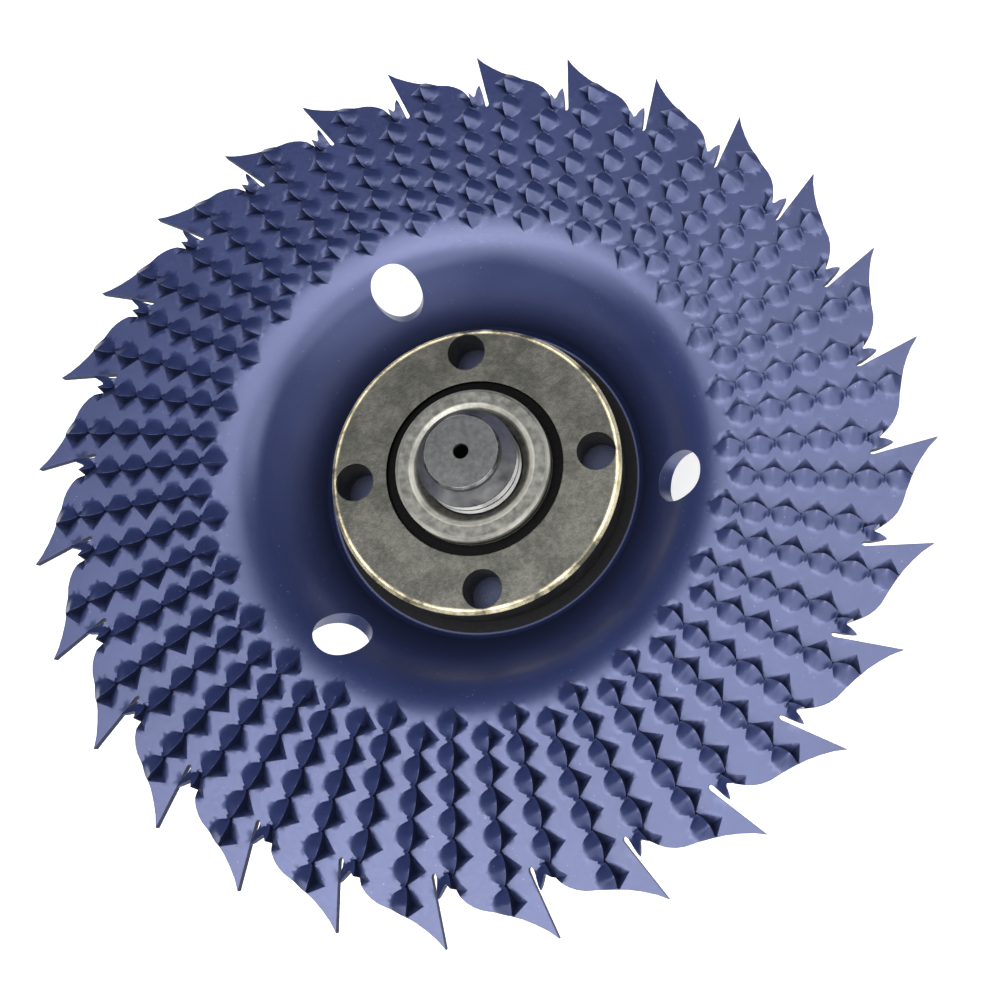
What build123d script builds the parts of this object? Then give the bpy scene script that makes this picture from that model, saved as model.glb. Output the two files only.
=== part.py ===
"""Angle grinder carving disc, mounted: a pressed saw-rasp dish clamped on an M14 grinder spindle.

Millimetres.  The Z axis is the spindle axis and +Z points out of the cutting face.
Z = 0 is the middle of the spindle's front ball bearing.
"""
import os
from math import atan2, cos, degrees, radians, sin, sqrt, tan

from build123d import *

os.makedirs("parts", exist_ok=True)

# ---------------------------------------------------------------- driving dimensions
# carving disc
DISC_OD = 125.0          # over the saw tooth tips
DISC_BORE = 22.23        # standard grinder arbor hole
SHEET_T = 2.0            # pressed steel sheet
DISH_DEPTH = 12.8        # hub front below the rasp ring front
WALL_ANGLE = 54.0        # dish wall from the disc plane
HUB_FLAT_R = 22.9        # where the flat hub meets the wall on the front
SHOULDER_FILLET = 8.0    # front of the bend from the wall to the rasp ring
HUB_FILLET = 0.4         # front of the bend from the hub to the wall
TEETH = 28
BARBS_IN_ROW = 6
BARB_PITCH = 3.97        # along a row
BARB_ROWS = [            # outermost barb's radius, its angle from the saw tip, drift back per mm inward
    (57.6, -5.3, 0.05),
    (55.7, 1.1, 0.075),
]
BARB_H = 1.6             # barb edge above the ring
BARB_R = 1.95            # half width of a barb
BARB_BACK = 2.75         # length of the ramp behind a barb edge
POCKET_L = 2.5           # pocket in front of a barb edge
POCKET_D = 1.1
POCKET_TAPER = 22.0      # lean of the pocket's walls
VENT_W = 7.0             # three stretched vent holes in the dish wall
VENT_L = 10.0
VENT_R = 29.3
VENT_START = -6.8        # angle of the first vent hole

# lock nut
NUT_OD = 42.0
NUT_BORE_R = 7.05
NUT_FLANGE_T = 6.3
NUT_BOSS_R = 11.1
NUT_BOSS_H = 1.7
NUT_GROOVE_R = 12.8      # plain groove round the boss
NUT_GROOVE_D = 0.7
NUT_RELIEF_R = 15.5      # relief under the nut, clear of the pilot
NUT_RELIEF_D = 0.5
NUT_EDGE = 0.5           # edge breaks
NUT_SINK_R = 8.9         # countersink of the threaded bore, in two stages
NUT_SINK_MID_R = 8.3
NUT_SINK_MID_D = 0.25
NUT_SINK_D = 1.5
NUT_PIN_PCD = 35.0
NUT_PIN_D = 5.5
NUT_PIN_START = 4.6

# inner flange
FLANGE_OD = 42.0
FLANGE_BACK = 7.4        # rear face height
HUB_BACK = 13.0          # clamping face height, under the disc hub
PILOT_D = 22.2
PILOT_H = 1.6
PILOT_EDGE = 0.2
FLANGE_FACE_R = 15.5     # inner edge of the clamping face
FLANGE_NECK_R = 13.5     # boss that rests on the spindle's collar
O_RING_R = 0.5           # cord radius of the ring that grips the disc's bore
FLATS_AF = 14.4          # across the two flats that drive the flange

# spindle
THREAD_D = 14.0
THREAD_PITCH = 2.0
THREAD_DEPTH = 1.2
THREAD_RIDGES = 7
COLLAR_R = 8.5
COLLAR_TOP = 12.2
FLATS_BOTTOM = 8.6
GEAR_SEAT_R = 5.0
TAIL_R = 3.5
GEAR_SHOULDER = -8.6     # where the gear seat meets the bearing seat
GEAR_SEAT_END = -26.0
TAIL_END = -34.0
TIP_ABOVE_RING = 1.3     # spindle end above the ring front
DOG_R = 5.4              # plain dog point ahead of the thread
DOG_H = 1.2
DOG_EDGE = 0.3
LEAD_H = 2.0             # lead-in cone from the dog point to the thread
CENTRE_R = 0.9           # centre drilling
CENTRE_D = 5.0
CENTRE_EDGE = 0.15
KEY_Z = -17.0            # middle of the gear key
KEY_W = 3.0
KEY_R = 5.0
KEY_TOP = 6.2            # key top above the axis

# retaining ring behind the bearing
CLIP_BACK = -6.1
CLIP_T = 1.0
CLIP_OUT_R = 8.2
CLIP_SEAT_R = 5.55       # bottom of its groove in the spindle
CLIP_GAP = 3.2
CLIP_EAR_X = 3.0
CLIP_EAR_R = 1.3
CLIP_EAR_HOLE_R = 0.6

# ball bearing 12 x 32 x 10
BRG_BORE_R = 6.0
BRG_OD_R = 16.0
BRG_HALF = 5.0
BALLS = 7
BALL_R = 2.976
PITCH_R = 11.0
GROOVE_R = 3.07
RACE_GAP = 0.02
INNER_LAND_R = 9.1
OUTER_LAND_R = 13.0
CAGE_T = 0.5
CAGE_GAP = 0.08          # round each ball
RIBBON_IN = 10.0         # the cage's ribbon
RIBBON_OUT = 12.1
RIVET_R = 0.45
RIVET_HEAD_R = 0.8
RIVET_HEAD_H = 0.3
SEAL_IN = 4.0            # the seals' inner and outer faces
SEAL_OUT = 4.7
SEAL_SEAT_R = 14.4
SEAL_LIP_R = 9.35
DUST_R = 13.0            # dust ring in front of the bearing

# heights that follow
HUB_FRONT = HUB_BACK + SHEET_T
O_RING_Z = HUB_BACK + PILOT_H / 2
RING_FRONT = HUB_FRONT + DISH_DEPTH
RING_BACK = RING_FRONT - SHEET_T
NUT_FACE = HUB_FRONT + NUT_FLANGE_T
NUT_TOP = NUT_FACE + NUT_BOSS_H
TIP_Z = RING_FRONT + TIP_ABOVE_RING
PITCH_DEG = 360.0 / TEETH
TIP_R = DISC_OD / 2
TIP_START = 11.91        # angle of one saw tip


def polar(r, deg):
    """A point on the XY plane at a radius and an angle."""
    return (r * cos(radians(deg)), r * sin(radians(deg)))


# ---------------------------------------------------------------- carving disc
# dish section: flat hub, sloping wall, flat rasp ring
slope = tan(radians(WALL_ANGLE))
front_shoulder_r = HUB_FLAT_R + DISH_DEPTH / slope
off_r = SHEET_T * sin(radians(WALL_ANGLE))
off_z = SHEET_T * cos(radians(WALL_ANGLE))
back_hub_r = HUB_FLAT_R + off_r - (SHEET_T - off_z) / slope
back_ring_r = back_hub_r + DISH_DEPTH / slope

# one rasp barb, edge on the YZ plane, ramp running to -X, ring front at Z = 0
barb_tilt = degrees(atan2(BARB_H, BARB_BACK))
barb_half_h = BARB_R / cos(radians(barb_tilt))
barb_axis = Location((0, 0, BARB_H - barb_half_h), (0, 90 - barb_tilt, 0))
barb = barb_axis * Cylinder(BARB_R, 12)
barb &= Pos(-3, 0, BARB_H / 2 - 0.1) * Box(6, 6, BARB_H + 1)

# the pocket dug in front of the edge
with BuildSketch() as pocket_plan:
    Polygon((0, -BARB_R + 0.1), (POCKET_L, 0), (0, BARB_R - 0.1), align=None)
pocket = Pos(0.02, 0, 0.1) * extrude(pocket_plan.sketch, -POCKET_D - 0.1, taper=POCKET_TAPER)

# saw tooth back, as degrees behind the tip and radius
TOOTH_BACK = [(2.4, 60.4), (5.4, 58.9), (8.6, 58.1), (10.5, 57.1), (12.6, 55.2)]
# small upturned tongue beside the gullet, then the gullet floor
TONGUE_FOOT = (12.95, 55.0)
TONGUE_TIP = (13.75, 56.7)
GULLET_BACK = (14.15, 54.4)
GULLET_FLOOR = (14.65, 53.85)
GULLET_FACE = (15.05, 54.3)

with BuildPart() as carving_disc:
    with BuildSketch(Plane.XZ) as dish_sketch:
        with BuildLine():
            Polyline(
                (DISC_BORE / 2, HUB_BACK),
                (back_hub_r, HUB_BACK),
                (back_ring_r, RING_BACK),
                (TIP_R + 1, RING_BACK),
                (TIP_R + 1, RING_FRONT),
                (front_shoulder_r, RING_FRONT),
                (HUB_FLAT_R, HUB_FRONT),
                (DISC_BORE / 2, HUB_FRONT),
                close=True,
            )
        make_face()
        corners = dish_sketch.vertices()
        fillet(corners.sort_by_distance((back_hub_r, 0, HUB_BACK))[0], HUB_FILLET + SHEET_T)
        corners = dish_sketch.vertices()
        fillet(corners.sort_by_distance((back_ring_r, 0, RING_BACK))[0], SHOULDER_FILLET - SHEET_T)
        corners = dish_sketch.vertices()
        fillet(corners.sort_by_distance((front_shoulder_r, 0, RING_FRONT))[0], SHOULDER_FILLET)
        corners = dish_sketch.vertices()
        fillet(corners.sort_by_distance((HUB_FLAT_R, 0, HUB_FRONT))[0], HUB_FILLET)
    revolve(axis=Axis.Z)
    # vent holes through the wall, stretched along the slope
    for k in range(3):
        turn = VENT_START + 120 * k
        vent_z = HUB_FRONT + (VENT_R - HUB_FLAT_R) * slope
        wall = Plane(
            origin=(*polar(VENT_R, turn), vent_z),
            x_dir=(cos(radians(turn)), sin(radians(turn)), slope),
            z_dir=(*polar(-slope, turn), 1),
        )
        with BuildSketch(wall):
            SlotOverall(VENT_L, VENT_W)
        extrude(amount=6, both=True, mode=Mode.SUBTRACT)
    # two rows of barbs to each tooth, the rows half a pitch out of step
    barbs = []
    pockets = []
    for k in range(TEETH):
        tip = TIP_START + PITCH_DEG * k
        for outer_r, edge_turn, drift in BARB_ROWS:
            for n in range(BARBS_IN_ROW):
                inward = BARB_PITCH * n
                turn = tip + edge_turn - drift * inward
                spot = Location((*polar(outer_r - inward, turn), RING_FRONT), (0, 0, turn + 90))
                barbs.append(spot * barb)
                pockets.append(spot * pocket)
    add(barbs)
    add(pockets, mode=Mode.SUBTRACT)
    # saw outline
    with BuildSketch(Plane.XY.offset(HUB_BACK)) as saw_sketch:
        with BuildLine():
            for k in range(TEETH):
                tip = TIP_START + PITCH_DEG * k
                face_foot = polar(GULLET_FACE[1], tip + PITCH_DEG - GULLET_FACE[0])
                floor = polar(GULLET_FLOOR[1], tip + PITCH_DEG - GULLET_FLOOR[0])
                back_foot = polar(GULLET_BACK[1], tip + PITCH_DEG - GULLET_BACK[0])
                Line(polar(TIP_R, tip), face_foot)
                ThreePointArc(face_foot, floor, back_foot)
                tongue_tip = polar(TONGUE_TIP[1], tip + PITCH_DEG - TONGUE_TIP[0])
                tongue_foot = polar(TONGUE_FOOT[1], tip + PITCH_DEG - TONGUE_FOOT[0])
                Polyline(back_foot, tongue_tip, tongue_foot)
                back = [polar(r, tip + PITCH_DEG - d) for d, r in reversed(TOOTH_BACK)]
                Spline(tongue_foot, *back, polar(TIP_R, tip + PITCH_DEG))
        make_face()
    extrude(amount=RING_FRONT - HUB_BACK + 4, mode=Mode.INTERSECT)
carving_disc.part.label = "carving_disc"
export_step(carving_disc.part, "parts/carving_disc.step")

# ---------------------------------------------------------------- lock nut
with BuildPart() as lock_nut:
    with BuildSketch(Plane.XZ):
        with BuildLine():
            Polyline(
                (NUT_BORE_R, HUB_FRONT + NUT_RELIEF_D),
                (NUT_RELIEF_R, HUB_FRONT + NUT_RELIEF_D),
                (NUT_RELIEF_R, HUB_FRONT),
                (NUT_OD / 2 - NUT_EDGE, HUB_FRONT),
                (NUT_OD / 2, HUB_FRONT + NUT_EDGE),
                (NUT_OD / 2, NUT_FACE - NUT_EDGE),
                (NUT_OD / 2 - NUT_EDGE, NUT_FACE),
                (NUT_GROOVE_R, NUT_FACE),
                (NUT_GROOVE_R, NUT_FACE - NUT_GROOVE_D),
                (NUT_BOSS_R, NUT_FACE - NUT_GROOVE_D),
                (NUT_BOSS_R, NUT_TOP - NUT_EDGE),
                (NUT_BOSS_R - NUT_EDGE, NUT_TOP),
                (NUT_SINK_R, NUT_TOP),
                (NUT_SINK_MID_R, NUT_TOP - NUT_SINK_MID_D),
                (NUT_BORE_R, NUT_TOP - NUT_SINK_D),
                close=True,
            )
        make_face()
    revolve(axis=Axis.Z)
    with Locations((0, 0, HUB_FRONT + NUT_FLANGE_T / 2)):
        with PolarLocations(NUT_PIN_PCD / 2, 4, start_angle=NUT_PIN_START):
            Cylinder(NUT_PIN_D / 2, NUT_FLANGE_T + 1, mode=Mode.SUBTRACT)
lock_nut.part.label = "lock_nut"
export_step(lock_nut.part, "parts/lock_nut.step")

# ---------------------------------------------------------------- inner flange
with BuildPart() as inner_flange:
    with BuildSketch(Plane.XZ):
        with BuildLine():
            Polyline(
                (COLLAR_R + 0.05, FLANGE_BACK),
                (FLANGE_NECK_R, FLANGE_BACK),
                (FLANGE_NECK_R, FLANGE_BACK + 1.6),
                (FLANGE_OD / 2 - 1.0, FLANGE_BACK + 2.4),
                (FLANGE_OD / 2, FLANGE_BACK + 3.2),
                (FLANGE_OD / 2, HUB_BACK - NUT_EDGE),
                (FLANGE_OD / 2 - NUT_EDGE, HUB_BACK),
                (FLANGE_FACE_R, HUB_BACK),
                (FLANGE_FACE_R, HUB_BACK - 0.4),
                (PILOT_D / 2, HUB_BACK - 0.4),
                (PILOT_D / 2, O_RING_Z - O_RING_R),
                (PILOT_D / 2 - 2 * O_RING_R, O_RING_Z - O_RING_R),
                (PILOT_D / 2 - 2 * O_RING_R, O_RING_Z + O_RING_R),
                (PILOT_D / 2, O_RING_Z + O_RING_R),
                (PILOT_D / 2, HUB_BACK + PILOT_H - PILOT_EDGE / 2),
                (PILOT_D / 2 - PILOT_EDGE, HUB_BACK + PILOT_H),
                (COLLAR_R + 0.05, HUB_BACK + PILOT_H),
                close=True,
            )
        make_face()
    revolve(axis=Axis.Z)
    # two lands inside the bore sit on the spindle's flats
    with BuildSketch(Plane.XY.offset(FLATS_BOTTOM)):
        Circle(COLLAR_R + 0.8)
        Rectangle(2 * COLLAR_R + 4, FLATS_AF + 0.1, mode=Mode.SUBTRACT)
    extrude(amount=HUB_BACK + PILOT_H - FLATS_BOTTOM)
inner_flange.part.label = "inner_flange"
export_step(inner_flange.part, "parts/inner_flange.step")

with BuildPart() as flange_o_ring:
    with Locations((0, 0, O_RING_Z)):
        Torus(PILOT_D / 2 - O_RING_R, O_RING_R)
flange_o_ring.part.label = "flange_o_ring"
export_step(flange_o_ring.part, "parts/flange_o_ring.step")

# ---------------------------------------------------------------- spindle
with BuildPart() as spindle:
    with BuildSketch(Plane.XZ):
        with BuildLine():
            outline = [
                (0, TAIL_END),
                (TAIL_R - 0.5, TAIL_END),
                (TAIL_R, TAIL_END + 0.5),
                (TAIL_R, GEAR_SEAT_END),
                (GEAR_SEAT_R - 0.4, GEAR_SEAT_END),
                (GEAR_SEAT_R, GEAR_SEAT_END + 0.4),
                (GEAR_SEAT_R, GEAR_SHOULDER),
                (BRG_BORE_R - 0.3, GEAR_SHOULDER),
                (BRG_BORE_R, GEAR_SHOULDER + 0.3),
                (BRG_BORE_R, CLIP_BACK - 0.05),
                (CLIP_SEAT_R, CLIP_BACK - 0.05),
                (CLIP_SEAT_R, -BRG_HALF),
                (BRG_BORE_R, -BRG_HALF),
                (BRG_BORE_R, BRG_HALF),
                (COLLAR_R, BRG_HALF),
                (COLLAR_R, COLLAR_TOP - 0.3),
                (COLLAR_R - 0.3, COLLAR_TOP),
                (THREAD_D / 2 - 1.3, COLLAR_TOP),
            ]
            # thread ridges, one each pitch, up to the lead-in cone and the dog point
            crest = THREAD_D / 2 - 0.02
            root = THREAD_D / 2 - THREAD_DEPTH
            last = TIP_Z - DOG_H - LEAD_H - 0.2
            for n in reversed(range(THREAD_RIDGES)):
                z = last - n * THREAD_PITCH
                outline += [(root, z - 0.85), (crest, z - 0.2), (crest, z + 0.2), (root, z + 0.85)]
            outline = outline[:-1]
            outline += [(DOG_R, TIP_Z - DOG_H), (DOG_R, TIP_Z - DOG_EDGE)]
            outline += [(DOG_R - DOG_EDGE, TIP_Z), (0, TIP_Z)]
            Polyline(*outline, close=True)
        make_face()
    revolve(axis=Axis.Z)
    # two flats drive the flange
    with BuildSketch(Plane.XY.offset(FLATS_BOTTOM)):
        Circle(COLLAR_R + 1)
        Rectangle(2 * COLLAR_R + 4, FLATS_AF, mode=Mode.SUBTRACT)
    extrude(amount=COLLAR_TOP - FLATS_BOTTOM, mode=Mode.SUBTRACT)
    # centre drilling in the threaded end
    with Locations((0, 0, TIP_Z - CENTRE_D / 2)):
        Cylinder(CENTRE_R, CENTRE_D, mode=Mode.SUBTRACT)
    with Locations((0, 0, TIP_Z - CENTRE_EDGE / 2)):
        Cone(CENTRE_R, CENTRE_R + CENTRE_EDGE, CENTRE_EDGE, mode=Mode.SUBTRACT)
    # seat of the half-moon key
    with BuildSketch(Plane.XZ):
        with Locations((KEY_TOP, KEY_Z)):
            Circle(KEY_R - 0.2)
    extrude(amount=KEY_W / 2, both=True, mode=Mode.SUBTRACT)
spindle.part.label = "spindle"
export_step(spindle.part, "parts/spindle.step")

with BuildPart() as gear_key:
    with BuildSketch(Plane.XZ):
        with Locations((KEY_TOP, KEY_Z)):
            Circle(KEY_R - 0.2)
        with Locations((KEY_TOP + 5, KEY_Z)):
            Rectangle(10, 12, mode=Mode.SUBTRACT)
    extrude(amount=KEY_W / 2, both=True)
gear_key.part.label = "gear_key"
export_step(gear_key.part, "parts/gear_key.step")

with BuildPart() as retaining_ring:
    with BuildSketch(Plane.XY.offset(CLIP_BACK)):
        Circle(CLIP_OUT_R)
        Circle(CLIP_SEAT_R + 0.05, mode=Mode.SUBTRACT)
        with Locations((0, -CLIP_OUT_R)):
            Rectangle(CLIP_GAP, CLIP_OUT_R, mode=Mode.SUBTRACT)
        for side in (-1, 1):
            with Locations((side * CLIP_EAR_X, -CLIP_OUT_R)):
                Circle(CLIP_EAR_R)
                Circle(CLIP_EAR_HOLE_R, mode=Mode.SUBTRACT)
    extrude(amount=CLIP_T)
retaining_ring.part.label = "retaining_ring"
export_step(retaining_ring.part, "parts/retaining_ring.step")

with BuildPart() as dust_ring:
    with BuildSketch(Plane.XZ):
        with BuildLine():
            Polyline(
                (COLLAR_R, BRG_HALF + 0.3),
                (DUST_R - 0.5, BRG_HALF + 0.3),
                (DUST_R, BRG_HALF + 0.6),
                (DUST_R, BRG_HALF + 1.1),
                (COLLAR_R + 1.2, BRG_HALF + 1.3),
                (COLLAR_R + 1.2, BRG_HALF + 2.0),
                (COLLAR_R, BRG_HALF + 2.0),
                close=True,
            )
        make_face()
    revolve(axis=Axis.Z)
dust_ring.part.label = "dust_ring"
export_step(dust_ring.part, "parts/dust_ring.step")

# ---------------------------------------------------------------- ball bearing
with BuildPart() as bearing_outer_ring:
    with BuildSketch(Plane.XZ):
        with BuildLine():
            Polyline(
                (OUTER_LAND_R, -SEAL_IN),
                (SEAL_SEAT_R, -SEAL_IN),
                (SEAL_SEAT_R, -BRG_HALF),
                (BRG_OD_R - 0.4, -BRG_HALF),
                (BRG_OD_R, -BRG_HALF + 0.4),
                (BRG_OD_R, BRG_HALF - 0.4),
                (BRG_OD_R - 0.4, BRG_HALF),
                (SEAL_SEAT_R, BRG_HALF),
                (SEAL_SEAT_R, SEAL_IN),
                (OUTER_LAND_R, SEAL_IN),
                close=True,
            )
        make_face()
        with Locations((PITCH_R + BALL_R + RACE_GAP - GROOVE_R, 0)):
            Circle(GROOVE_R, mode=Mode.SUBTRACT)
    revolve(axis=Axis.Z)
bearing_outer_ring.part.label = "bearing_outer_ring"
export_step(bearing_outer_ring.part, "parts/bearing_outer_ring.step")

with BuildPart() as bearing_inner_ring:
    with BuildSketch(Plane.XZ):
        with BuildLine():
            Polyline(
                (BRG_BORE_R, -BRG_HALF),
                (INNER_LAND_R - 0.3, -BRG_HALF),
                (INNER_LAND_R, -BRG_HALF + 0.3),
                (INNER_LAND_R, BRG_HALF - 0.3),
                (INNER_LAND_R - 0.3, BRG_HALF),
                (BRG_BORE_R, BRG_HALF),
                close=True,
            )
        make_face()
        with Locations((PITCH_R - BALL_R - RACE_GAP + GROOVE_R, 0)):
            Circle(GROOVE_R, mode=Mode.SUBTRACT)
    revolve(axis=Axis.Z)
bearing_inner_ring.part.label = "bearing_inner_ring"
export_step(bearing_inner_ring.part, "parts/bearing_inner_ring.step")

with BuildPart() as bearing_balls:
    with PolarLocations(PITCH_R, BALLS):
        Sphere(BALL_R)
bearing_balls.part.label = "bearing_balls"
export_step(bearing_balls.part, "parts/bearing_balls.step")

# pressed ribbon cage: two halves, cupped over the balls, riveted between them
with BuildPart() as cage_front:
    with PolarLocations(PITCH_R, BALLS):
        Sphere(BALL_R + CAGE_GAP + CAGE_T)
    with BuildSketch():
        Circle(RIBBON_OUT)
    extrude(amount=CAGE_T)
    with BuildSketch():
        Circle(RIBBON_OUT)
        Circle(RIBBON_IN, mode=Mode.SUBTRACT)
    extrude(amount=6, mode=Mode.INTERSECT)
    with PolarLocations(PITCH_R, BALLS):
        Sphere(BALL_R + CAGE_GAP, mode=Mode.SUBTRACT)
    with PolarLocations(PITCH_R, BALLS, start_angle=180 / BALLS):
        Cylinder(RIVET_R, 3, mode=Mode.SUBTRACT)
cage_front.part.label = "cage_front"
export_step(cage_front.part, "parts/cage_front.step")

with BuildPart() as cage_rear:
    add(mirror(cage_front.part, about=Plane.XY))
cage_rear.part.label = "cage_rear"
export_step(cage_rear.part, "parts/cage_rear.step")

with BuildPart() as cage_rivets:
    with PolarLocations(PITCH_R, BALLS, start_angle=180 / BALLS):
        Cylinder(RIVET_R, 2 * CAGE_T)
    for side in (-1, 1):
        with Locations((0, 0, side * (CAGE_T + RIVET_HEAD_H / 2))):
            with PolarLocations(PITCH_R, BALLS, start_angle=180 / BALLS):
                Cylinder(RIVET_HEAD_R, RIVET_HEAD_H)
cage_rivets.part.label = "cage_rivets"
export_step(cage_rivets.part, "parts/cage_rivets.step")

with BuildPart() as seal_front:
    with BuildSketch(Plane.XZ):
        with BuildLine():
            Polyline(
                (SEAL_LIP_R, SEAL_IN + 0.1),
                (SEAL_SEAT_R, SEAL_IN),
                (SEAL_SEAT_R, SEAL_OUT),
                (SEAL_SEAT_R - 0.9, SEAL_OUT),
                (SEAL_SEAT_R - 1.3, SEAL_OUT - 0.2),
                (SEAL_LIP_R, SEAL_OUT - 0.2),
                close=True,
            )
        make_face()
    revolve(axis=Axis.Z)
seal_front.part.label = "seal_front"
export_step(seal_front.part, "parts/seal_front.step")

with BuildPart() as seal_rear:
    add(mirror(seal_front.part, about=Plane.XY))
seal_rear.part.label = "seal_rear"
export_step(seal_rear.part, "parts/seal_rear.step")
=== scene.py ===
import math

import bmesh
import bpy
from mathutils import Matrix, Vector
from mathutils.geometry import delaunay_2d_cdt


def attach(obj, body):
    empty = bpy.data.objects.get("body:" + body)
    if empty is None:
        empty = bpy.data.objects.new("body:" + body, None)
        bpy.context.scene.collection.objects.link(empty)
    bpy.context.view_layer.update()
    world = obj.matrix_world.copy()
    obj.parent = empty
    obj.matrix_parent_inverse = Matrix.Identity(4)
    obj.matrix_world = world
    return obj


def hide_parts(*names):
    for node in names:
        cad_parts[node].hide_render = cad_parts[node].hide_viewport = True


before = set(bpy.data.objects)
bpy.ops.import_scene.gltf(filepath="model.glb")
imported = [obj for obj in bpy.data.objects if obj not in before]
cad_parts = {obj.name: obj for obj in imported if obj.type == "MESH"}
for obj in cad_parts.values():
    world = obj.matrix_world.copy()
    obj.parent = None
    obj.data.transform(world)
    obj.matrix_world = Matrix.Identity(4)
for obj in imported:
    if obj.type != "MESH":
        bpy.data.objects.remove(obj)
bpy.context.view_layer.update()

bpy.context.scene.view_settings.view_transform = "Standard"
MM = 0.001

# ------------------------------------------------------------------ disc sizes, mm and degrees
TEETH = 28
PITCH = 360 / TEETH
TIP0 = 11.91                # angle of one saw tip
TIP_R = 62.49
RING_Z = 27.8               # front of the rasp ring
SHEET = 2.0
RIM_THIN = 0.9              # how much thinner the sheet is at the teeth
THIN_FROM, THIN_OVER = 46, 10   # radius where the thinning starts, and the width it takes

# dish
SLOPE = math.radians(54)
HUB_R, HUB_Z = 22.9, 15.0   # edge and front of the flat hub
BORE_R = 11.115
SHOULDER_FILLET, HUB_FILLET = 8.0, 0.4
SHOULDER_R = HUB_R + (RING_Z - HUB_Z) / math.tan(SLOPE) + SHOULDER_FILLET * math.tan(SLOPE / 2)
SHOULDER_Z = RING_Z - SHOULDER_FILLET

# vents
VENT_COUNT, VENT_TURN = 3, -6.8
VENT_SHARE = 360 / VENT_COUNT
VENTS = [VENT_TURN + VENT_SHARE * k for k in range(VENT_COUNT)]
VENT_R = 29.0
VENT_HALF_W, VENT_HALF_L = 3.5, 4.75
VENT_FULL_W, VENT_FULL_L = 0.9, 0.95    # below 1, an oval is fuller at its corners
VENT_POINTS = 48
VENT_MARGIN = 0.35          # width of the even band of mesh round a vent
VENT_CLEAR = 0.25           # free points keep this far from the band
VENT_NEAR = 6.0             # only the edges of a vent are this near its middle

# barbs
BARB_H, BARB_W, BARB_L = 1.6, 1.985, 2.55       # height, half width, length behind the edge
BARB_PITCH = 3.97
BARBS_IN_ROW = 6
# two rows a tooth: the outer barb's radius, the angle from the tip of that barb and of the others,
# the radius those angles are given at, and the drift in degrees per mm inward
BARB_ROWS = ((57.6, -5.3, -5.3, 57.6, 0.05), (55.7, 0.1, 1.1, 55.6, 0.075))
BULGE = 0.6                 # how far the middle of an edge stands forward
RIDGE_ROUND = 0.13          # rounding of a barb's ridge, as a share of its half width
CREST_CURVE = 1.15
RAMP_W = 0.86               # half width of the ramp, as a share of the half width of the edge
RAMP_SWELL = 0.30           # how much of a ramp's fall is eased at the edge and at the rear
LIP = 0.42                  # lip left between neighbouring barbs, as a share of the barb's height
LIP_RAMP = 0.80             # length of the ramp behind the lip
PIT_L, PIT_D = 2.45, 1.35   # length and depth of the pocket in front of the edge
FACE_T = 0.12               # how far forward the cut face leans
PIT_CURVE = 1.25            # a pocket is deep beside the edge and runs out flat
BARB_REACH = 4.0            # nothing of a barb is further from it than this

# saw tooth back, degrees behind the tip and radius, round the small tongue beside the gullet
BACK = [(0, TIP_R), (0.5, 61.95), (1.1, 61.35), (2.4, 60.4), (3.8, 59.6), (5.4, 58.95), (7.0, 58.45),
        (8.6, 58.1), (9.6, 57.7), (10.5, 57.15), (11.3, 56.45), (12.0, 55.7), (12.5, 55.2), (12.85, 54.95),
        (13.1, 55.15), (13.3, 55.75), (13.55, 56.4), (13.75, 56.7), (13.95, 56.25), (14.15, 55.45),
        (14.3, 54.75), (14.42, 54.2)]
# gullet floor, in the same terms
FLOOR = [(14.6, 53.9), (14.83, 53.84), (15.02, 54.0), (15.07, 54.3)]
TONGUE_ROOT, TONGUE_REACH = 54.9, 1.8
TONGUE_EDGE = 0.1           # how far past its outline the tongue's curl still counts
TONGUE_LIFT = 1.0
TONGUE_BACK_LIFT = 2.5      # the curl thins the tongue from behind

# mesh
JOIN_R = 33.6               # where the ring's mesh meets the dish's on the front
ARC_STEPS = 12              # points on that circle per tooth
# where one tooth's mesh meets the next: degrees behind the tip at a radius, and more per mm inward
CUT_TURN, CUT_R, CUT_DRIFT = 8.95, 58, 0.043
CUT_STEPS = 48
CUT_CLEAR = 0.2             # degrees between the cut and the nearest corner of the rim
CUT_ROUNDS = 20             # rounds that settle where the cut crosses the rim
RISE_STEP, FALL_STEP = 0.45, 0.35       # longest step round the rim, degrees
FACE_STEPS = 16
FRONT_GRID, BACK_GRID = 0.8, 3.0        # spacing of the free points
GRID_ROW, GRID_CLEAR = 0.87, 0.45       # their rows, and their distance from the outline, in spacings
CREASE_CLEAR = 0.05         # creases keep this far from the outline
RING_SNAP, DISH_SNAP = 1e-5, 1e-6       # points this close are one
ON_LINE = 1e-4              # a point this near a line is on it
BACK_ARCS = (34.9, 35.6, 36.3, 37.2)    # extra points round the back of the shoulder
SHOULDER_STEPS, WALL_STEPS, FILLET_STEPS, HUB_STEPS = 12, 22, 6, 14
RAMP_GAP = 0.02             # the ramp's creases stay this far behind the edge
WELD = 0.012                # vertices this close are joined
SHARP = math.radians(28)    # edges that turn more than this look sharp

# places across a barb with points on its creases, as a share of its half width
HALF_RAMP = (0.14, 0.38, 0.58, 0.74, 0.85, 0.92, 0.97)
RAMP_Q = [-q for q in reversed(HALF_RAMP)] + [0] + list(HALF_RAMP)
EDGE_Q = [0.995 * k / 6 for k in range(-6, 7)]
FOOT_Q = [0.99 * k / 5 for k in range(-5, 6)]
PIT_Q = (0, 0.25, 0.5, 0.75, 0.94)


def polar(r, a):
    a = math.radians(a)
    return Vector((r * math.cos(a), r * math.sin(a)))


def back_radius(d):
    """Radius of the tooth's back, d degrees behind its tip."""
    for (d0, r0), (d1, r1) in zip(BACK, BACK[1:]):
        if d <= d1:
            t = (d - d0) / (d1 - d0)
            return r0 + (r1 - r0) * t
    return BACK[-1][1]


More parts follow.
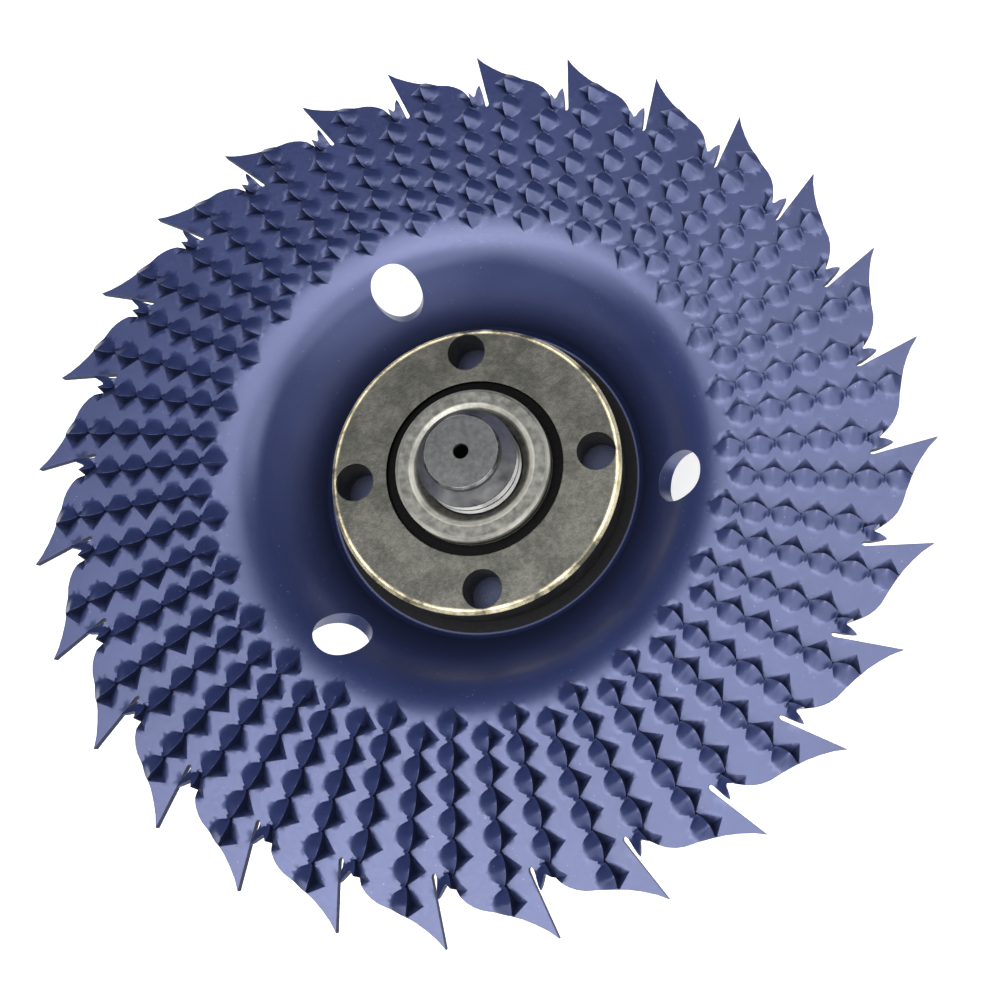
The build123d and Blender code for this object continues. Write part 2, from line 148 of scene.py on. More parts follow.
# ------------------------------------------------------------------ dish section
def dish_profile():
    """Points (r, z, normal r, normal z) on the front of the dish, from the join circle to the hole."""

    def on_fillet(r, z, radius, a):
        return (r - radius * math.sin(a), z + radius * math.cos(a), -math.sin(a), math.cos(a))

    start = math.asin((SHOULDER_R - JOIN_R) / SHOULDER_FILLET)
    hub_r, hub_z = HUB_R - HUB_FILLET * math.tan(SLOPE / 2), HUB_Z + HUB_FILLET
    out = []
    for k in range(SHOULDER_STEPS + 1):
        a = start + (SLOPE - start) * k / SHOULDER_STEPS
        out.append(on_fillet(SHOULDER_R, SHOULDER_Z, SHOULDER_FILLET, a))
    top, foot = out[-1], on_fillet(hub_r, hub_z, -HUB_FILLET, SLOPE)
    for k in range(1, WALL_STEPS):
        t = k / WALL_STEPS
        r, z = top[0] + (foot[0] - top[0]) * t, top[1] + (foot[1] - top[1]) * t
        out.append((r, z, -math.sin(SLOPE), math.cos(SLOPE)))
    for k in range(FILLET_STEPS + 1):
        out.append(on_fillet(hub_r, hub_z, -HUB_FILLET, SLOPE * (1 - k / FILLET_STEPS)))
    for k in range(1, HUB_STEPS + 1):
        out.append((hub_r + (BORE_R - hub_r) * k / HUB_STEPS, HUB_Z, 0, 1))
    return out


PROFILE = dish_profile()
# length along the profile at each of its points
ALONG = [0.0]
for near_point, far_point in zip(PROFILE, PROFILE[1:]):
    ALONG.append(ALONG[-1] + math.hypot(far_point[0] - near_point[0], far_point[1] - near_point[1]))


def section(v):
    """Point and normal on the dish's profile, a length v along it."""
    v = min(max(v, 0), ALONG[-1])
    for i in range(len(ALONG) - 1):
        if v <= ALONG[i + 1] + 1e-9:
            t = (v - ALONG[i]) / (ALONG[i + 1] - ALONG[i])
            return [PROFILE[i][j] * (1 - t) + PROFILE[i + 1][j] * t for j in range(4)]
    return list(PROFILE[-1])


def shoulder_z(r, radius):
    """Height of the shoulder's rounding at a radius short of its end."""
    return SHOULDER_Z + math.sqrt(radius**2 - (SHOULDER_R - r) ** 2)


def base_z(r):
    """Front of the sheet on the ring, before any barb."""
    return RING_Z if r >= SHOULDER_R else shoulder_z(r, SHOULDER_FILLET)


# ------------------------------------------------------------------ rasp barbs
def barb_list():
    """(radius, angle of the cutting edge, place in its row) near the tooth at TIP0."""
    out = []
    for k in (-1, 0, 1, 2):
        for n in range(BARBS_IN_ROW):
            for outer_r, outer_turn, turn, given_at, drift in BARB_ROWS:
                r = outer_r - BARB_PITCH * n
                a = TIP0 + PITCH * k + (turn if n else outer_turn) - drift * (given_at - r)
                out.append((r, a, n))
    return out


BARBS = barb_list()


def edge_x(q):
    """How far forward the cutting edge is, q from -1 to 1 along it."""
    return BULGE * (1 - q * q)


def ramp_length(q):
    """Length of the ramp behind the edge: a barb is half round behind its edge."""
    return max(LIP_RAMP, BARB_L * math.sqrt(max(0.0, 1 - (q / RAMP_W) ** 2)))


def ramp_fall(s):
    """Height along a ramp, 1 at the edge and 0 at the rear."""
    eased = 1 - s * s * (3 - 2 * s)
    return RAMP_SWELL * eased + (1 - RAMP_SWELL) * (1 - s)


def crest(q, lip):
    """Height of a barb across its width, 1 on the ridge, q from 0 there to 1 at its side."""
    ridge = math.hypot(1, RIDGE_ROUND) - RIDGE_ROUND
    side = max(0.0, 1 - (math.hypot(q, RIDGE_ROUND) - RIDGE_ROUND) / ridge)
    return lip + (1 - lip) * side**CREST_CURVE


def pocket_z(x, q):
    """Floor of the pocket in front of the edge."""
    return -PIT_D * max(0.0, 1 - x / PIT_L - q) ** PIT_CURVE


def barb_axes(r, a):
    """Middle of a barb's edge, the way it cuts and the way outward."""
    c = polar(r, a)
    out = c.normalized()
    return c, Vector((-out.y, out.x)), out


def barb_height(p):
    """Height of the rasp surface over the plain sheet: barbs up, pockets down."""
    up = down = 0.0
    for r, a, n in BARBS:
        c, cut, out = barb_axes(r, a)
        d = p - c
        if d.length_squared > BARB_REACH**2:
            continue
        x, y = d.dot(cut), d.dot(out)
        q = abs(y) / BARB_W
        if q >= 1:
            continue
        end_of_row = (n == 0 and y > 0) or (n == BARBS_IN_ROW - 1 and y < 0)
        top = BARB_H * crest(q, 0.0 if end_of_row else LIP)
        edge = edge_x(q)
        if x <= edge + ON_LINE:
            s = max(0.0, edge - x) / ramp_length(q)
            if s < 1:
                up = max(up, top * ramp_fall(s))
        elif x < edge + FACE_T:
            foot = pocket_z(edge + FACE_T, q)
            h = top + (foot - top) * (x - edge) / FACE_T
            up, down = max(up, h), min(down, h)
        else:
            down = min(down, pocket_z(x, q))
    return up + down


def barb_lines():
    """Creases of every barb: its edge, the foot of its cut face, its pocket and its ramp."""
    out = []
    for r, a, _ in BARBS:
        c, cut, outward = barb_axes(r, a)

        def at(x, q):
            return c + cut * x + outward * (BARB_W * q)

        out.append([at(edge_x(q), q) for q in EDGE_Q])
        out.append([at(edge_x(q) + FACE_T, q) for q in FOOT_Q])
        start = BULGE + FACE_T
        out.append([at(start + (PIT_L - start) * k / 4, 0) for k in range(5)])
        for side in (-1, 1):
            out.append([at(PIT_L * (1 - q), side * q) for q in PIT_Q])
        for q in RAMP_Q:
            out.append([at(edge_x(q) - RAMP_GAP - ramp_length(q) * k / 5, q) for k in range(6)])
        out.append([at(edge_x(q) - RAMP_GAP - ramp_length(q), q) for q in RAMP_Q])
    return out


def tongue(p):
    """How far along the curled tongue beside the gullet a point is, 0 to 1."""
    a = math.degrees(math.atan2(p.y, p.x)) - TIP0
    face = (PITCH - FLOOR[-1][0]) * (TIP_R - p.length) / (TIP_R - FLOOR[-1][1])
    beside = face + TONGUE_EDGE < a < TONGUE_EDGE
    if beside and TONGUE_ROOT < p.length < TONGUE_ROOT + TONGUE_REACH + TONGUE_EDGE:
        return (p.length - TONGUE_ROOT) / TONGUE_REACH
    return 0.0


def front_z(p):
    return base_z(p.length) + barb_height(p) + TONGUE_LIFT * tongue(p)


def back_z(p):
    """Back of the sheet on the ring: thinned toward the teeth, curled with the tongue."""
    if p.length < SHOULDER_R:
        return shoulder_z(p.length, SHOULDER_FILLET - SHEET)
    thin = RIM_THIN * min(1, max(0, (p.length - THIN_FROM) / THIN_OVER))
    return RING_Z - SHEET + thin + (TONGUE_BACK_LIFT - thin) * tongue(p)


# ------------------------------------------------------------------ plane meshes
def inside(p, poly):
    hit = False
    for a, b in zip(poly, poly[1:] + poly[:1]):
        if (a.y > p.y) != (b.y > p.y) and p.x < (b.x - a.x) * (p.y - a.y) / (b.y - a.y) + a.x:
            hit = not hit
    return hit


def near(p, poly, reach):
    for a, b in zip(poly, poly[1:] + poly[:1]):
        ab = b - a
        t = max(0, min(1, (p - a).dot(ab) / ab.length_squared))
        if (a + ab * t - p).length < reach:
            return True
    return False


def fill(loop, lines, spacing):
    """Triangles inside a closed loop, with creases and a grid of free points."""
    verts = list(loop)
    edges = []
    for line in lines:
        run = []
        for p in line:
            if inside(p, loop) and not near(p, loop, CREASE_CLEAR):
                run.append(len(verts))
                verts.append(p)
            else:
                edges += zip(run, run[1:])
                run = []
        edges += zip(run, run[1:])
    xs = [p.x for p in loop]
    ys = [p.y for p in loop]
    row = 0
    y = min(ys)
    while y < max(ys):
        x = min(xs) + (row % 2) * spacing / 2
        while x < max(xs):
            p = Vector((x, y))
            if inside(p, loop) and not near(p, loop, spacing * GRID_CLEAR):
                verts.append(p)
            x += spacing
        y += spacing * GRID_ROW
        row += 1
    out = delaunay_2d_cdt(verts, edges, [list(range(len(loop)))], 1, RING_SNAP)
    return out[0], out[2]


# ------------------------------------------------------------------ ring, one tooth's share at a time
def cut_angle(r):
    """Angle behind the tip where one tooth's mesh meets the next, clear of the barbs."""
    return CUT_TURN + (CUT_R - r) * CUT_DRIFT


def stepped(angles, longest):
    """The angles after the first, with others between them where a step is too long."""
    out = []
    for d0, d1 in zip(angles, angles[1:]):
        steps = max(1, round(abs(d0 - d1) / longest))
        out += [d0 + (d1 - d0) * k / steps for k in range(1, steps + 1)]
    return out


def ring_sector():
    """Outline of one tooth's share of the ring: its lower side, rim, upper side and inner arc."""
    d_cut = CUT_TURN
    for _ in range(CUT_ROUNDS):
        d_cut = cut_angle(back_radius(d_cut))
    r_cut = back_radius(d_cut)
    own, after = TIP0, TIP0 + PITCH
    radii = [JOIN_R + (r_cut - JOIN_R) * k / CUT_STEPS for k in range(CUT_STEPS + 1)]
    low = [polar(r, own - cut_angle(r)) for r in radii]
    high = [polar(r, after - cut_angle(r)) for r in radii]
    arc = [polar(JOIN_R, own - cut_angle(JOIN_R) + PITCH * k / ARC_STEPS) for k in range(1, ARC_STEPS)]
    rise = [d for d, _ in reversed(BACK) if d < d_cut - CUT_CLEAR]
    fall = [d for d, _ in reversed(BACK) if d > d_cut + CUT_CLEAR]
    rim = [polar(back_radius(d), own - d) for d in stepped([d_cut] + rise, RISE_STEP)]
    tip, foot = polar(TIP_R, own), polar(FLOOR[-1][1], after - FLOOR[-1][0])
    rim += [tip.lerp(foot, k / FACE_STEPS) for k in range(1, FACE_STEPS)]
    rim += [polar(r, after - d) for d, r in reversed(FLOOR)]
    down = [fall[0]] + stepped(fall + [d_cut], FALL_STEP)
    rim += [polar(back_radius(d), after - d) for d in down[:-1]]
    return low, rim, high, arc


def place(bm, p, z, tooth=0):
    """A vertex over a point of the plane, turned to its tooth."""
    turn = math.radians(PITCH * tooth)
    x = p.x * math.cos(turn) - p.y * math.sin(turn)
    y = p.x * math.sin(turn) + p.y * math.cos(turn)
    return bm.verts.new((x * MM, y * MM, z * MM))


def add_ring(bm):
    low, rim, high, arc = ring_sector()
    front, front_tris = fill(low + rim + high[::-1] + arc[::-1], barb_lines(), FRONT_GRID)

    # on the back the ring meets the dish a little further out
    join_back = PROFILE[0][0] - PROFILE[0][2] * SHEET
    stretch = (low[-1].length - join_back) / (low[-1].length - JOIN_R)

    def on_back(line):
        return [p * ((join_back + (p.length - JOIN_R) * stretch) / p.length) for p in line]

    back_loop = on_back(low) + rim + on_back(high)[::-1] + on_back(arc)[::-1]
    back_arcs = [[polar(r, TIP0 - cut_angle(r) + PITCH * k / ARC_STEPS) for k in range(1, ARC_STEPS)]
                 for r in BACK_ARCS]
    back, back_tris = fill(back_loop, back_arcs, BACK_GRID)

    edge = [low[-1]] + rim + [high[-1]]
    front_heights = [front_z(p) for p in front]
    back_heights = [back_z(p) for p in back]
    edge_front = [front_z(p) for p in edge]
    edge_back = [back_z(p) for p in edge]
    for tooth in range(TEETH):
        vs = [place(bm, p, z, tooth) for p, z in zip(front, front_heights)]
        for t in front_tris:
            bm.faces.new([vs[i] for i in t])
        vs = [place(bm, p, z, tooth) for p, z in zip(back, back_heights)]
        for t in back_tris:
            bm.faces.new([vs[i] for i in reversed(t)])
        up = [place(bm, p, z, tooth) for p, z in zip(edge, edge_front)]
        down = [place(bm, p, z, tooth) for p, z in zip(edge, edge_back)]
        for i in range(len(edge) - 1):
            bm.faces.new((up[i], down[i], down[i + 1], up[i + 1]))


# ------------------------------------------------------------------ dish, three equal parts round the vents
def vent_outline(mid_x, mid_y):
    """Outline of a vent on the unrolled dish."""
    out = []
    for k in range(VENT_POINTS):
        a = 2 * math.pi * k / VENT_POINTS
        x = VENT_HALF_W * math.copysign(abs(math.cos(a)) ** VENT_FULL_W, math.cos(a))
        y = VENT_HALF_L * math.copysign(abs(math.sin(a)) ** VENT_FULL_L, math.sin(a))
        out.append(Vector((mid_x + x, mid_y + y)))
    return out


def add_dish(bm):
    unit = VENT_R * math.pi / 180       # mm per degree at the vents
    step = PITCH / ARC_STEPS
    arc0 = TIP0 - cut_angle(JOIN_R)
    n = TEETH * ARC_STEPS // VENT_COUNT
    end = ALONG[-1]
    vent_at = min(ALONG, key=lambda v: abs(section(v)[0] - VENT_R))
    for vent in VENTS:
        first = arc0 + step * round((vent - VENT_SHARE / 2 - arc0) / step)
        xs = [(first + step * k) * unit for k in range(n + 1)]
        left = [Vector((xs[0], v)) for v in ALONG]
        right = [Vector((xs[-1], v)) for v in ALONG]
        top = [Vector((x, 0)) for x in xs[1:-1]]
        bottom = [Vector((x, end)) for x in xs[1:-1]]
        outer = left + bottom + right[::-1] + top[::-1]
        mid = Vector((vent * unit, vent_at))
        hole = vent_outline(vent * unit, vent_at)
        band = [p + (p - mid).normalized() * VENT_MARGIN for p in hole]
        pts = outer + hole + band
        for v in ALONG[1:-1]:
            for x in xs[1:-1]:
                p = Vector((x, v))
                if not inside(p, band) and not near(p, band, VENT_CLEAR):
                    pts.append(p)
        edges = [(len(outer) + k, len(outer) + (k + 1) % VENT_POINTS) for k in range(VENT_POINTS)]
        got, _, faces, *_ = delaunay_2d_cdt(pts, edges, [list(range(len(outer)))], 1, DISH_SNAP)
        front, rear = [], []
        for p in got:
            r, z, nr, nz = section(p.y)
            front.append(place(bm, polar(r, p.x / unit), z))
            rear.append(place(bm, polar(r - nr * SHEET, p.x / unit), z - nz * SHEET))
        single = {}
        for f in faces:
            if inside(sum((got[i] for i in f), Vector((0, 0))) / len(f), hole):
                continue
            bm.faces.new([front[i] for i in reversed(f)])
            bm.faces.new([rear[i] for i in f])
            for i, j in zip(f, f[1:] + f[:1]):
                if (j, i) in single:
                    del single[(j, i)]
                else:
                    single[(i, j)] = True
        # walls of the vent and of the disc's hole
        for i, j in single:
            at_vent = all((got[e] - mid).length < VENT_NEAR for e in (i, j))
            at_bore = all(got[e].y > end - ON_LINE for e in (i, j))
            if at_vent or at_bore:
                bm.faces.new((front[i], front[j], rear[j], rear[i]))


def disc_mesh():
    bm = bmesh.new()
    add_ring(bm)
    add_dish(bm)
    bmesh.ops.remove_doubles(bm, verts=bm.verts, dist=WELD * MM)
    bmesh.ops.recalc_face_normals(bm, faces=bm.faces)
    me = bpy.data.meshes.new("disc_pressing")
    bm.to_mesh(me)
    bm.free()
    me.polygons.foreach_set("use_smooth", [True] * len(me.polygons))
    me.set_sharp_from_angle(angle=SHARP)
    ob = bpy.data.objects.new("disc_pressing", me)
    bpy.context.scene.collection.objects.link(ob)
    return ob


# ------------------------------------------------------------------ materials
CREASE_SAMPLES, BEVEL_SAMPLES = 6, 4


class Nodes:
    """A procedural material, built node by node."""

    def __init__(self, name):
        self.mat = bpy.data.materials.new(name)
        self.mat.use_nodes = True
        self.tree = self.mat.node_tree
        self.bsdf = self.tree.nodes["Principled BSDF"]
        self.coord = self.new("ShaderNodeTexCoord").outputs

    def put(self, socket, value):
        if isinstance(value, bpy.types.NodeSocket):
            self.tree.links.new(value, socket)
        else:
            socket.default_value = value

    def new(self, kind, **inputs):
        node = self.tree.nodes.new(kind)
        for name, value in inputs.items():
            self.put(node.inputs[name], value)
        return node

    def set(self, **inputs):
        for name, value in inputs.items():
            self.put(self.bsdf.inputs[name.replace("_", " ")], value)

    def math(self, op, *values):
        node = self.new("ShaderNodeMath")
        node.operation = op
        for socket, value in zip(node.inputs, values):
            self.put(socket, value)
        return node.outputs[0]

    def both(self, a, b):
        return self.math("MULTIPLY", a, b)

    def over(self, a, limit):
        return self.math("GREATER_THAN", a, limit)

    def under(self, a, limit):
        return self.math("LESS_THAN", a, limit)

    def most(self, first, *others):
        for other in others:
            first = self.math("MAXIMUM", first, other)
        return first

    def ramp(self, value, *stops, full=1.0):
        """Colour ramp from 0 to full. Each stop is a place, and a colour or a grey."""
        node = self.new("ShaderNodeValToRGB")
        elements = node.color_ramp.elements
        while len(elements) < len(stops):
            elements.new(0.5)
        for element, (place_at, color) in zip(elements, stops):
            element.position = place_at / full
            element.color = (*color, 1) if isinstance(color, tuple) else (color, color, color, 1)
        self.put(node.inputs[0], value if full == 1.0 else self.math("DIVIDE", value, full))
        return node.outputs[0]

    def noise(self, scale, detail=3.0, rough=0.55):
        node = self.new("ShaderNodeTexNoise", Scale=scale, Detail=detail, Roughness=rough)
        self.put(node.inputs["Vector"], self.coord["Object"])
        return node.outputs["Fac"]

    def mix(self, fac, a, b):
        node = self.new("ShaderNodeMix")
        node.data_type = "RGBA"
        self.put(node.inputs[0], fac)
        for socket, color in ((node.inputs[6], a), (node.inputs[7], b)):
            self.put(socket, (*color, 1) if isinstance(color, tuple) else color)
        return node.outputs[2]

    def split(self, vector):
        node = self.new("ShaderNodeSeparateXYZ")
        self.put(node.inputs[0], vector)
        return node.outputs

    def radius(self):
        """Distance from the spindle axis and height, in millimetres."""
        x, y, z = self.split(self.coord["Object"])
        r = self.math("SQRT", self.math("ADD", self.both(x, x), self.both(y, y)))
        return self.both(r, 1 / MM), self.both(z, 1 / MM)

    def forward(self):
        """How squarely the surface faces the way the disc turns, 0 to 1."""
        x, y, _ = self.split(self.coord["Object"])
        nx, ny, _ = self.split(self.coord["Normal"])
        swirl = self.math("SUBTRACT", self.both(ny, x), self.both(nx, y))
        return self.math("DIVIDE", swirl, self.both(self.radius()[0], MM))

    def crease_shade(self, reach):
        """Painted shade from ambient occlusion: 1 deep in a corner, where the coat is also made duller, and
        0 in the open.
        """
        node = self.new("ShaderNodeAmbientOcclusion", Distance=reach)
        node.samples = CREASE_SAMPLES
        return self.ramp(node.outputs["AO"], (0.25, 1), (0.75, 0))

    def relief(self, height, strength, distance, edge=0.0):
        """Fine bumps, over edges that are rounded a little."""
        bump = self.new("ShaderNodeBump", Strength=strength, Distance=distance, Height=height)
        self.tree.links.new(bump.outputs[0], self.bsdf.inputs["Normal"])
        if edge:
            bevel = self.new("ShaderNodeBevel", Radius=edge)
            bevel.samples = BEVEL_SAMPLES
            self.tree.links.new(bevel.outputs[0], bump.inputs["Normal"])


PAINTED_SHADE_R = 38.0              # painted shade lies in the rasp outside this radius
# colour of the painted shade in the rasp, in corners and on the dish wall
PAINTED_SHADE_COLOR = (0.004, 0.009, 0.040)
# colour of the painted shadow round the nut's foot
NUT_SHADOW_COLOR = (0.003, 0.003, 0.004)


def coat_material():
    """Navy coat, with painted shade in the pockets, on the cut faces, in corners and low on the dish wall
    by the hub, and a painted shadow round the nut's foot.
    """
    m = Nodes("navy_coat")
    r, z = m.radius()
    fine = m.noise(2500, 2)
    color = m.mix(m.ramp(m.noise(90, 3), (0.35, 0), (0.7, 1)), (0.020, 0.030, 0.103), (0.025, 0.037, 0.120))
    dust = m.ramp(m.noise(2600, 1, 0.4), (0.765, 0), (0.79, 1))
    color = m.mix(m.both(dust, 0.3), color, (0.30, 0.33, 0.45))
    on_ring = m.over(r, PAINTED_SHADE_R)
    # painted shade: pockets are darker the deeper they go
    pocket = m.both(on_ring, m.ramp(m.math("SUBTRACT", RING_Z, z), (0.05, 0.15), (0.75, 0.95)))
    pocket = m.both(pocket, m.under(z, RING_Z - 0.02))
    # painted shade on the faces that face the way the disc turns
    cut_face_shade = m.both(on_ring, m.ramp(m.forward(), (0.45, 0), (0.70, 1)))
    # painted shade low on the dish wall, just out from the hub
    hub = m.ramp(r, (23.24, 0), (23.52, 0.8), (28.0, 0), full=40)
    # painted shade: pockets, cut faces, the lower dish wall and corners are darkened as if in shade
    painted_shade = m.most(pocket, cut_face_shade, hub, m.crease_shade(3 * MM))
    color = m.mix(painted_shade, color, PAINTED_SHADE_COLOR)
    # painted shadow of the nut on the hub, in a ring round its foot
    nut_shadow = m.ramp(r, (20.4, 0.5), (20.8, 1), (22.52, 1), (22.72, 0), full=40)
    nut_shadow = m.both(nut_shadow, m.under(z, HUB_Z + 0.2))
    color = m.mix(nut_shadow, color, NUT_SHADOW_COLOR)
    painted_shade = m.most(painted_shade, nut_shadow)
    gloss = m.ramp(fine, (0.3, 0.31), (0.7, 0.39))
    # the painted shade and shadow are also made more metallic and rougher, so their sheen fades too
    m.set(Base_Color=color, Metallic=m.math("MULTIPLY_ADD", painted_shade, 0.45, 0.4),
          Roughness=m.math("MULTIPLY_ADD", painted_shade, 0.3, gloss), Specular_IOR_Level=1.0)
    m.relief(fine, 0.10, 0.06 * MM, 0.12 * MM)
    return m.mat


NUT_RIM_Z = 20.75           # from here up the flange's rim is painted brassy: partly wear, partly a painted highlight
NUT_BOSS_R, NUT_BOSS_Z = 11.6, 21.6
NUT_THREAD_R = 7.12
NUT_GROOVE = (11.15, 12.85, 21.25)      # inner and outer radius, and top, of the groove, which is painted near black as shade
RIM_WEAR_AND_HIGHLIGHT = (0.95, 0.84, 0.54)
BARE_LIP = (0.54, 0.53, 0.47)


def nut_material():
    """Worn black oxide, with a worn rim painted bright as a highlight, a bare boss, and painted shade in
    the groove and the bore.
    """
    m = Nodes("worn_black_oxide")
    r, z = m.radius()
    mottle = m.noise(1300, 4, 0.6)
    fine = m.noise(3600, 3, 0.6)
    dark = m.ramp(mottle, (0.36, (0.043, 0.043, 0.038)), (0.64, (0.061, 0.060, 0.053)))
    light = m.ramp(mottle, (0.36, (0.064, 0.063, 0.055)), (0.64, (0.090, 0.088, 0.077)))
    base = m.mix(m.ramp(m.noise(260, 3, 0.5), (0.42, 0), (0.60, 1)), dark, light)
    # bare metal shines on the boss's outer edge and round the lip of the countersink
    boss = m.both(m.under(r, NUT_BOSS_R), m.over(z, NUT_BOSS_Z))
    worn = m.ramp(m.noise(900, 4, 0.65), (0.35, (0.080, 0.080, 0.074)), (0.68, (0.200, 0.198, 0.182)))
    lip = m.ramp(r, (7.92, 0), (8.28, 1), (8.82, 1), (9.12, 0), (10.5, 0), (10.8, 1), full=12)
    lip = m.both(lip, m.ramp(m.noise(230, 3), (0.30, 0.25), (0.60, 0.9)))
    worn = m.mix(lip, worn, BARE_LIP)
    # painted shade: the thread inside the bore is painted near black
    worn = m.mix(m.under(r, NUT_THREAD_R), worn, (0.02, 0.02, 0.018))
    color = m.mix(boss, base, worn)
    groove_in, groove_out, groove_top = NUT_GROOVE
    # painted shade: the groove is painted near black
    groove_shade = m.both(m.both(m.over(r, groove_in), m.under(r, groove_out)), m.under(z, groove_top))
    color = m.mix(groove_shade, color, (0.004, 0.004, 0.004))
    # the rim's brassy colour is partly wear and partly a painted highlight
    rim = m.both(m.ramp(r, (20.1, 0), (20.45, 1), (21.0, 1), (21.1, 0), full=25), m.over(z, NUT_RIM_Z))
    color = m.mix(m.both(rim, m.ramp(m.noise(170, 4, 0.6), (0.42, 0.1), (0.58, 1))), color, RIM_WEAR_AND_HIGHLIGHT)
    gloss = m.ramp(fine, (0.3, 0.36), (0.7, 0.56))
    m.set(Base_Color=color, Metallic=m.math("MULTIPLY_ADD", groove_shade, 0.15, 0.85),
          Roughness=m.math("MULTIPLY_ADD", boss, 0.14, gloss))
    m.relief(m.math("ADD", fine, m.both(mottle, 1.5)), 0.25, 0.10 * MM, 0.20 * MM)
    return m.mat


END_Z = 28.7                # the spindle's end face and its edge are above this
CENTRE_R = 1.1              # centre drilling, painted near black as its shade


def spindle_material():
    """Dull end face with painted shade in its centre drilling, bare thread and ground shank."""
    m = Nodes("spindle_steel")
    r, z = m.radius()
    fine = m.noise(1500, 3)
    scuff = m.noise(420, 4, 0.6)
    face = m.ramp(fine, (0.3, (0.045, 0.046, 0.047)), (0.7, (0.072, 0.073, 0.074)))
    bare = m.ramp(scuff, (0.25, (0.17, 0.17, 0.167)), (0.75, (0.29, 0.29, 0.283)))
    edge = m.both(m.over(r, 5.05), m.over(z, END_Z + 0.05))
    face = m.mix(m.both(edge, m.ramp(scuff, (0.40, 0), (0.62, 1))), face, (0.26, 0.26, 0.26))
    color = m.mix(m.over(z, END_Z), bare, face)
    # painted shade: the centre drilling is painted near black
    color = m.mix(m.under(r, CENTRE_R), color, (0.01, 0.01, 0.01))
    m.set(Base_Color=color, Metallic=0.9, Roughness=m.ramp(scuff, (0.3, 0.24), (0.7, 0.44)))
    m.relief(fine, 0.1, 0.05 * MM, 0.10 * MM)
    return m.mat


def steel(name, dark, light, rough=(0.25, 0.4), scale=1500, bump=0.1):
    m = Nodes(name)
    fine = m.noise(scale, 3)
    m.set(Base_Color=m.ramp(fine, (0.3, dark), (0.7, light)), Metallic=1.0,
          Roughness=m.ramp(fine, (0.3, rough[0]), (0.7, rough[1])))
    m.relief(fine, bump, 0.05 * MM, 0.10 * MM)
    return m.mat


def rubber(name):
    m = Nodes(name)
    fine = m.noise(1800, 2)
    m.set(Base_Color=(0.018, 0.018, 0.019, 1), Roughness=m.ramp(fine, (0.3, 0.55), (0.7, 0.7)))
    m.relief(fine, 0.1, 0.05 * MM)
    return m.mat


def paint(mat, *nodes):
    for node in nodes:
        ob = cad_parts[node]
        ob.data.materials.clear()
        ob.data.materials.append(mat)


disc = disc_mesh()
disc.data.materials.append(coat_material())
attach(disc, "disc")
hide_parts("carving_disc")

paint(nut_material(), "lock_nut")
paint(steel("key_steel", (0.05, 0.05, 0.05), (0.09, 0.09, 0.09), (0.34, 0.5)), "gear_key")
paint(spindle_material(), "spindle")
paint(steel("flange_steel", (0.10, 0.098, 0.095), (0.19, 0.185, 0.18), (0.32, 0.45)), "inner_flange")
paint(steel("bearing_steel", (0.30, 0.30, 0.31), (0.38, 0.38, 0.39), (0.16, 0.26), 900, 0.03),
      "bearing_outer_ring", "bearing_inner_ring", "bearing_balls")
paint(steel("cage_steel", (0.42, 0.41, 0.39), (0.56, 0.55, 0.53), (0.3, 0.4)),
      "cage_front", "cage_rear", "cage_rivets")
paint(rubber("seal_rubber"), "seal_front", "seal_rear", "flange_o_ring")
paint(steel("spring_steel", (0.05, 0.05, 0.055), (0.10, 0.10, 0.11), (0.3, 0.4)), "retaining_ring")
paint(steel("zinc", (0.36, 0.35, 0.31), (0.52, 0.50, 0.44), (0.3, 0.42)), "dust_ring")

# ------------------------------------------------------------------ floor, light, camera
FLOOR_SIZE, FLOOR_Z = 8.0, -0.0345      # metres, as are the lights


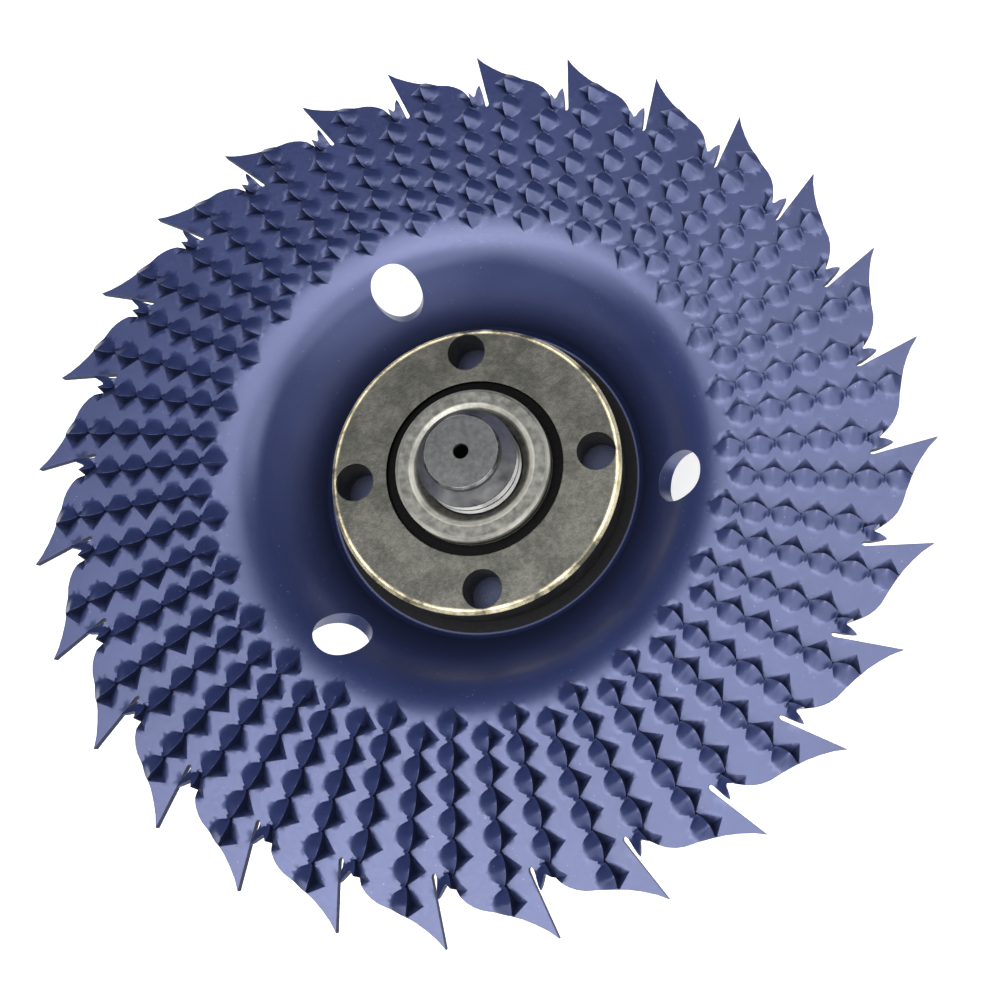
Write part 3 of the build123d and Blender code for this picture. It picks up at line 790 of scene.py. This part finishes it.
def floor_plane():
    h, z = FLOOR_SIZE / 2, FLOOR_Z
    me = bpy.data.meshes.new("floor")
    me.from_pydata([(-h, -h, z), (h, -h, z), (h, h, z), (-h, h, z)], [], [(0, 1, 2, 3)])
    ob = bpy.data.objects.new("floor", me)
    bpy.context.scene.collection.objects.link(ob)
    m = Nodes("pale_floor")
    m.set(Base_Color=(0.86, 0.86, 0.86, 1), Roughness=0.8)
    m.set(Emission_Color=(1, 1, 1, 1), Emission_Strength=0.40)
    me.materials.append(m.mat)
    return ob


def add_world():
    world = bpy.data.worlds.new("studio")
    bpy.context.scene.world = world
    world.use_nodes = True
    background = world.node_tree.nodes["Background"]
    background.inputs["Color"].default_value = (0.90, 0.92, 0.96, 1)
    background.inputs["Strength"].default_value = 0.03


def area(name, place_at, target, size, power):
    lamp = bpy.data.lights.new(name, "AREA")
    lamp.shape = "RECTANGLE"
    lamp.size, lamp.size_y = size
    lamp.energy = power
    ob = bpy.data.objects.new(name, lamp)
    ob.location = place_at
    ob.rotation_mode = "QUATERNION"
    ob.rotation_quaternion = (Vector(target) - Vector(place_at)).to_track_quat("-Z", "Y")
    bpy.context.scene.collection.objects.link(ob)


def add_camera():
    """Close above the disc's lower right, with the frame shifted as the picture is cropped."""
    cam = bpy.data.cameras.new("camera")
    cam.sensor_width = 36
    cam.lens = 42.25
    cam.shift_x, cam.shift_y = -0.072, -0.050
    cam.clip_start, cam.clip_end = 0.01, 20
    eye, aim = Vector((37.1, -45.7, 176.8)) * MM, Vector((15.0, -0.3, RING_Z)) * MM
    up = Vector((0.063, 0.933, 0.354))
    back = (eye - aim).normalized()
    side = up.cross(back).normalized()
    turn = Matrix((side, back.cross(side), back)).transposed()
    view = bpy.data.objects.new("camera", cam)
    view.matrix_world = Matrix.Translation(eye) @ turn.to_4x4()
    bpy.context.scene.collection.objects.link(view)
    bpy.context.scene.camera = view


floor = floor_plane()
add_world()
area("softbox", (0.02, -0.05, 0.50), (0.01, -0.01, 0), (0.66, 0.56), 4.6)
area("softbox_left", (-0.20, -0.24, 0.50), (0.01, -0.01, 0), (0.50, 0.50), 1.9)
area("front_box", (0.22, -0.50, 0.34), (0, 0, 0.01), (0.90, 0.34), 2.4)
area("left_low", (-0.42, -0.40, 0.26), (0, 0, 0.02), (0.34, 0.30), 0.5)
area("right_box", (0.52, 0.04, 0.42), (-0.01, 0, 0.02), (0.30, 0.30), 1.0)
add_camera()
